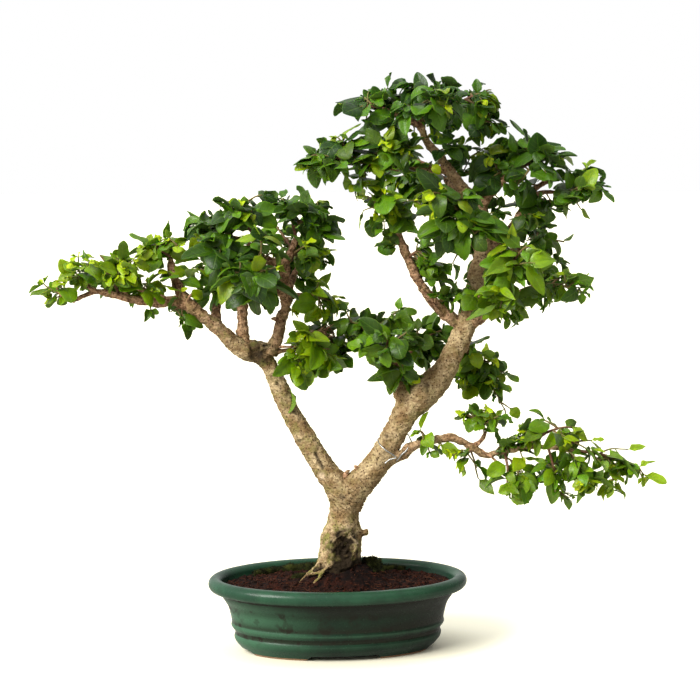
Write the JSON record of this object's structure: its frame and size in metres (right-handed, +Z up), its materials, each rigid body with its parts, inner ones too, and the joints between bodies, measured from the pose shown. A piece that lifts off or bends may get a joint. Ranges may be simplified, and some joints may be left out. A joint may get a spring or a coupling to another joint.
{
  "type": "privet bonsai",
  "caption": "Informal forked privet bonsai with wide leafy crowns and one low side branch, planted in peat in an oval green glazed pot on feet.",
  "frame": {"origin": "centre of the object's bounding box, on the plane that the pot's feet stand on", "axes": "+X along the pot's long side, to the right of the tree's best side; +Y away from the viewer, across the pot; +Z up"},
  "size_m": [0.5974, 0.227, 0.5798],
  "materials": {
    "glaze": "satin mottled green glaze",
    "soil": "loose dark peat",
    "bark": "pale bark with fine dark specks",
    "leaf": "glossy green leaves",
    "moss": "dark olive moss",
    "wire": "dull bare wire",
    "mesh": "matt black-green mesh"
  },
  "bodies": {
    "root": {"drain_screen_1": "mesh", "drain_screen_2": "mesh", "moss_back": "moss", "moss_left": "moss", "moss_right": "moss", "pot": "glaze", "soil": "soil", "spray_back_middle": "leaf", "spray_centre_back": "leaf", "spray_centre_front": "leaf", "spray_crown_hanging": "leaf", "spray_crown_left": "leaf", "spray_crown_twig": "leaf", "spray_fork_side": "leaf", "spray_fork_top": "leaf", "spray_front_left": "leaf", "spray_knot_hanging": "leaf", "spray_knot_right": "leaf", "spray_left_back": "leaf", "spray_left_between": "leaf", "spray_left_branch": "leaf", "spray_left_branch_side": "leaf", "spray_left_far": "leaf", "spray_left_hanging": "leaf", "spray_left_low": "leaf", "spray_left_rise": "leaf", "spray_left_tip": "leaf", "spray_left_twig": "leaf", "spray_left_upper": "leaf", "spray_left_upper_side": "leaf", "spray_low_back": "leaf", "spray_low_first": "leaf", "spray_low_fork": "leaf", "spray_low_inner": "leaf", "spray_low_middle": "leaf", "spray_low_outer": "leaf", "spray_low_single": "leaf", "spray_low_tip": "leaf", "spray_low_up": "leaf", "spray_middle_side": "leaf", "spray_middle_top": "leaf", "spray_pad_back": "leaf", "spray_pad_end": "leaf", "spray_pad_front": "leaf", "spray_pad_middle": "leaf", "spray_right_arm": "leaf", "spray_right_arm_twig": "leaf", "spray_right_back": "leaf", "spray_right_front": "leaf", "spray_right_limb": "leaf", "spray_right_rise": "leaf", "spray_top_back": "leaf", "spray_top_front": "leaf", "spray_top_leader": "leaf", "spray_top_left": "leaf", "spray_top_right": "leaf", "spray_trunk_back": "leaf", "spray_upright_twig": "leaf", "tie_wire": "wire", "tree_wood": "bark"}
  },
  "joints": []
}
